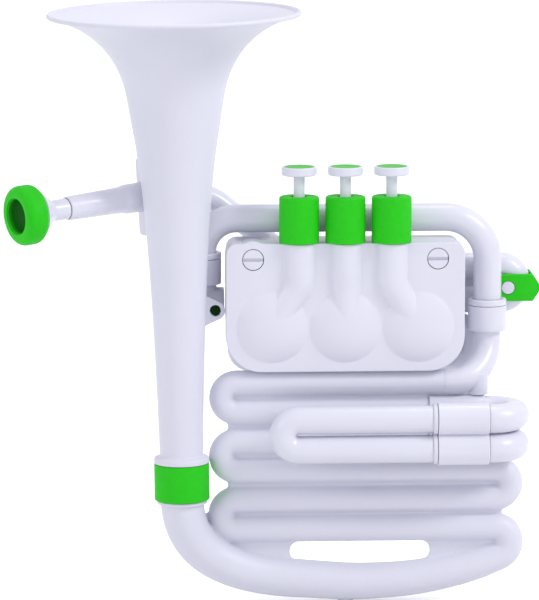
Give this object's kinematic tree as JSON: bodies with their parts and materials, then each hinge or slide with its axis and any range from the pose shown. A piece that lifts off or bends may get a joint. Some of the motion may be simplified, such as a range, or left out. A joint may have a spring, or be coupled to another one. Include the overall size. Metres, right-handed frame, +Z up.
{
  "type": "plastic horn",
  "caption": "Compact plastic horn with an upright bell, three piston-pressed valves, a folded serpentine body and a pull-off front crook.",
  "frame": {"origin": "on the flat front face of the valve cover, on its vertical centre line, 2.6 mm above its bottom edge", "axes": "+X to the right as the valve cover is seen from the front, towards the tuning slide's outer leg; +Y from the cover to the rear tubing; +Z up, towards the bell's rim"},
  "size_m": [0.3265, 0.152, 0.3619],
  "materials": {
    "white_plastic": "satin",
    "green_plastic": "matte",
    "dark_rubber": "matte",
    "spring_steel": "bright"
  },
  "bodies": {
    "horn": {"bell": "white_plastic", "bell_tail": "white_plastic", "body_front_shell": "white_plastic", "body_rear_shell": "white_plastic", "slide_socket_right": "white_plastic", "slide_socket_left": "white_plastic", "socket_cap_right": "white_plastic", "socket_cap_left": "white_plastic", "leadpipe": "white_plastic", "leadpipe_bracket": "white_plastic", "rear_upper_tube": "white_plastic", "inlet_elbow": "white_plastic", "water_key_bow": "white_plastic", "valve_loop": "white_plastic", "valve_cover": "white_plastic", "valve_housing": "white_plastic", "bell_brace": "white_plastic", "bell_collar_band": "green_plastic", "guide_cap_1": "green_plastic", "guide_cap_2": "green_plastic", "guide_cap_3": "green_plastic", "slide_seal_right": "dark_rubber", "slide_seal_left": "dark_rubber", "brace_bush": "dark_rubber", "return_spring_1": "spring_steel", "return_spring_2": "spring_steel", "return_spring_3": "spring_steel"},
    "valve_button_1": {"finger_button_1": "white_plastic", "button_inlay_1": "green_plastic", "valve_plunger_1": "white_plastic"},
    "valve_button_2": {"finger_button_2": "white_plastic", "button_inlay_2": "green_plastic", "valve_plunger_2": "white_plastic"},
    "valve_button_3": {"finger_button_3": "white_plastic", "button_inlay_3": "green_plastic", "valve_plunger_3": "white_plastic"},
    "rotor_1": {"valve_rotor_1": "white_plastic"},
    "rotor_2": {"valve_rotor_2": "white_plastic"},
    "rotor_3": {"valve_rotor_3": "white_plastic"},
    "tuning_slide": {"tuning_slide_bow": "white_plastic"},
    "crook_connector_piece": {"crook_connector": "white_plastic"},
    "crook_bow": {"crook_loop": "white_plastic"},
    "water_key_clip": {"water_key_strap": "green_plastic"},
    "lock_left": {"cover_lock_left": "white_plastic"},
    "lock_right": {"cover_lock_right": "white_plastic"},
    "mouthpiece_piece": {"mouthpiece": "white_plastic", "mouthpiece_rim": "green_plastic"}
  },
  "joints": [
    {"name": "valve_1_press", "type": "slide", "parent": "horn", "child": "valve_button_1", "axis": [0, 0, -1], "range_m": [0, 0.0125], "stiffness_N_per_m": 140, "springref_m": -0.004, "deforming": ["return_spring_1"]},
    {"name": "valve_2_press", "type": "slide", "parent": "horn", "child": "valve_button_2", "axis": [0, 0, -1], "range_m": [0, 0.0125], "stiffness_N_per_m": 140, "springref_m": -0.004, "deforming": ["return_spring_2"]},
    {"name": "valve_3_press", "type": "slide", "parent": "horn", "child": "valve_button_3", "axis": [0, 0, -1], "range_m": [0, 0.0125], "stiffness_N_per_m": 140, "springref_m": -0.004, "deforming": ["return_spring_3"]},
    {"name": "rotor_1_turn", "type": "hinge", "parent": "horn", "child": "rotor_1", "pos_m": [-0.044, 0.012, 0.0246], "axis": [0, 1, 0], "range_deg": [0, 90.5]},
    {"name": "rotor_2_turn", "type": "hinge", "parent": "horn", "child": "rotor_2", "pos_m": [0, 0.012, 0.0246], "axis": [0, 1, 0], "range_deg": [0, 90.5]},
    {"name": "rotor_3_turn", "type": "hinge", "parent": "horn", "child": "rotor_3", "pos_m": [0.044, 0.012, 0.0246], "axis": [0, 1, 0], "range_deg": [-90.5, 0]},
    {"name": "tuning_slide_pull", "type": "slide", "parent": "horn", "child": "tuning_slide", "axis": [0, 0, 1], "range_m": [0, 0.012]},
    {"name": "crook_connector_pull", "type": "slide", "parent": "horn", "child": "crook_connector_piece", "axis": [1, 0, 0], "range_m": [0, 0.016]},
    {"name": "crook_loop_pull", "type": "slide", "parent": "crook_connector_piece", "child": "crook_bow", "axis": [-1, 0, 0], "range_m": [0, 0.015]},
    {"name": "water_key_swing", "type": "hinge", "parent": "horn", "child": "water_key_clip", "pos_m": [0.1014, 0.0465, 0.0422], "axis": [0, 1, 0], "range_deg": [0, 25]},
    {"name": "cover_lock_left_turn", "type": "hinge", "parent": "horn", "child": "lock_left", "pos_m": [-0.0556, 0, 0.0658], "axis": [0, 1, 0], "range_deg": [0, 90]},
    {"name": "cover_lock_right_turn", "type": "hinge", "parent": "horn", "child": "lock_right", "pos_m": [0.0556, 0, 0.0658], "axis": [0, 1, 0], "range_deg": [0, 90]},
    {"name": "mouthpiece_pull", "type": "slide", "parent": "horn", "child": "mouthpiece_piece", "axis": [-0.8627, -0.4981, -0.0872], "range_m": [0, 0.022]}
  ],
  "couplings": [
    {"joint": "rotor_1_turn", "follows": "valve_1_press", "rad_per_m": 125.66},
    {"joint": "rotor_2_turn", "follows": "valve_2_press", "rad_per_m": 125.66},
    {"joint": "rotor_3_turn", "follows": "valve_3_press", "rad_per_m": -125.66}
  ]
}
